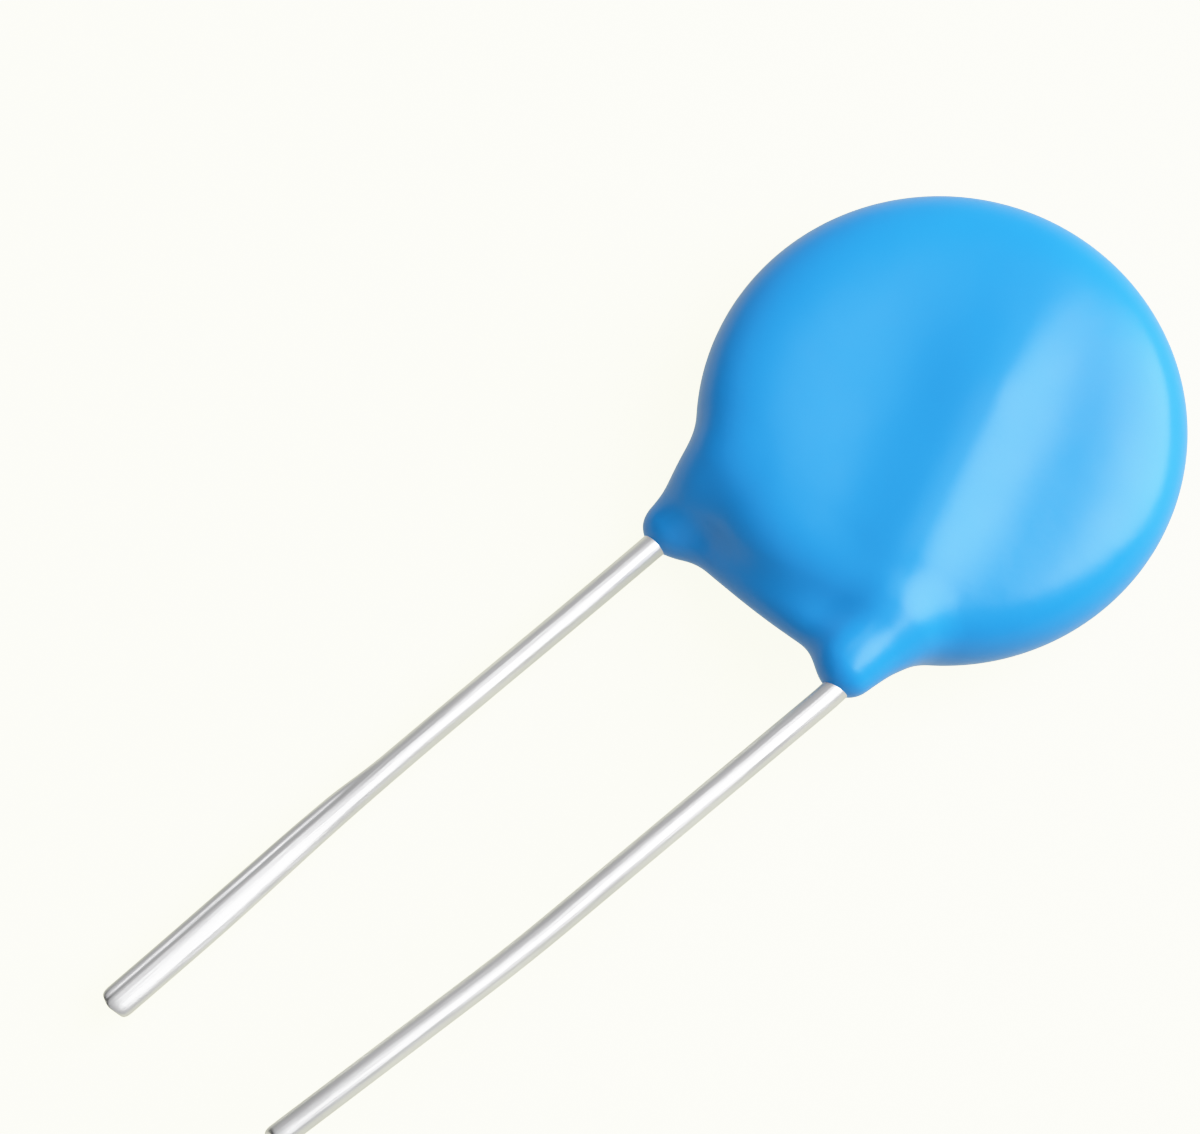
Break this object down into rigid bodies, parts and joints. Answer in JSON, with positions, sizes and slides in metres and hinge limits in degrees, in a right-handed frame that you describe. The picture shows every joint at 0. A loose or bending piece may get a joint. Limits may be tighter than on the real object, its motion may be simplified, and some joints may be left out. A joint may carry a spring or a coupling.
{
  "type": "varistor",
  "caption": "Epoxy-dipped disc varistor with two radial wire leads: clamps voltage surges across a circuit.",
  "frame": {"origin": "middle of the outer box, level with the surface that the part lies on", "axes": "+Z out of the front face, the disc's axis; +Y away from the leads, which point along -Y; +X to the front lead's side"},
  "size_m": [0.015, 0.038, 0.0049],
  "materials": {
    "epoxy": "dipped epoxy, semi-gloss sky blue",
    "zinc_oxide": "fired, dark grey",
    "silver": "fired silver, matt",
    "tinned_wire": "drawn and tinned, bright",
    "solder": "solidified solder, satin"
  },
  "bodies": {
    "root": {"coating": "epoxy", "ceramic_disc": "zinc_oxide", "front_electrode": "silver", "back_electrode": "silver", "front_lead": "tinned_wire", "back_lead": "tinned_wire", "front_solder": "solder", "back_solder": "solder"}
  },
  "joints": []
}
